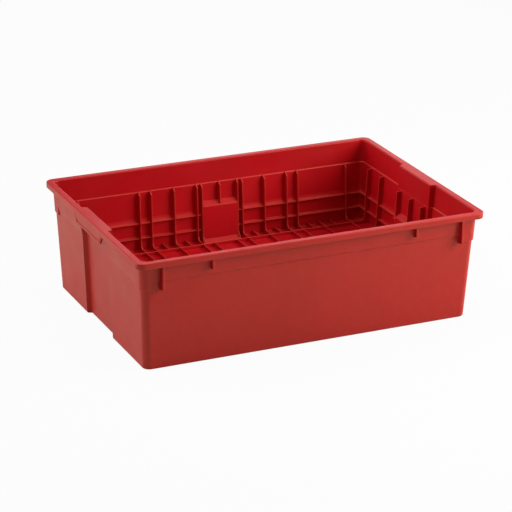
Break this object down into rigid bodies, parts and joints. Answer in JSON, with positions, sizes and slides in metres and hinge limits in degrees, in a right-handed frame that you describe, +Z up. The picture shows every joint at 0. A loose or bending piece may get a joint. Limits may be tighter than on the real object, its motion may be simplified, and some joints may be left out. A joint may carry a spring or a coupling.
{
  "type": "stacking harvest tub",
  "caption": "Open rectangular plastic harvest tub with drafted walls, a turned-down rim, end hand grips and a ribbed inside with a raised floor.",
  "frame": {"origin": "centre of the base, on the surface that the tub stands on", "axes": "+X along the length, +Y to the back, +Z up"},
  "size_m": [0.6, 0.424, 0.185],
  "materials": {
    "red_polypropylene": "satin moulded polypropylene"
  },
  "bodies": {
    "root": {"back_left_corner": "red_polypropylene", "back_left_rim_corner": "red_polypropylene", "back_pad": "red_polypropylene", "back_pad_foot": "red_polypropylene", "back_right_corner": "red_polypropylene", "back_right_rim_corner": "red_polypropylene", "back_rim": "red_polypropylene", "back_short_gussets": "red_polypropylene", "back_tall_gussets": "red_polypropylene", "back_wall": "red_polypropylene", "back_wall_rails": "red_polypropylene", "back_wall_ribs": "red_polypropylene", "floor_panel": "red_polypropylene", "floor_ribs": "red_polypropylene", "front_left_corner": "red_polypropylene", "front_left_rim_corner": "red_polypropylene", "front_pad": "red_polypropylene", "front_pad_foot": "red_polypropylene", "front_right_corner": "red_polypropylene", "front_right_rim_corner": "red_polypropylene", "front_rim": "red_polypropylene", "front_short_gussets": "red_polypropylene", "front_tall_gussets": "red_polypropylene", "front_wall": "red_polypropylene", "front_wall_rails": "red_polypropylene", "front_wall_ribs": "red_polypropylene", "left_end_rails": "red_polypropylene", "left_end_ribs": "red_polypropylene", "left_front_end_wall": "red_polypropylene", "left_front_rim": "red_polypropylene", "left_grip_lip": "red_polypropylene", "left_grip_panel": "red_polypropylene", "left_grip_ribs": "red_polypropylene", "left_grip_top": "red_polypropylene", "left_pad": "red_polypropylene", "left_pad_foot": "red_polypropylene", "left_rear_end_wall": "red_polypropylene", "left_rear_rim": "red_polypropylene", "right_end_rails": "red_polypropylene", "right_end_ribs": "red_polypropylene", "right_front_end_wall": "red_polypropylene", "right_front_rim": "red_polypropylene", "right_grip_lip": "red_polypropylene", "right_grip_panel": "red_polypropylene", "right_grip_ribs": "red_polypropylene", "right_grip_top": "red_polypropylene", "right_pad": "red_polypropylene", "right_pad_foot": "red_polypropylene", "right_rear_end_wall": "red_polypropylene", "right_rear_rim": "red_polypropylene"}
  },
  "joints": []
}
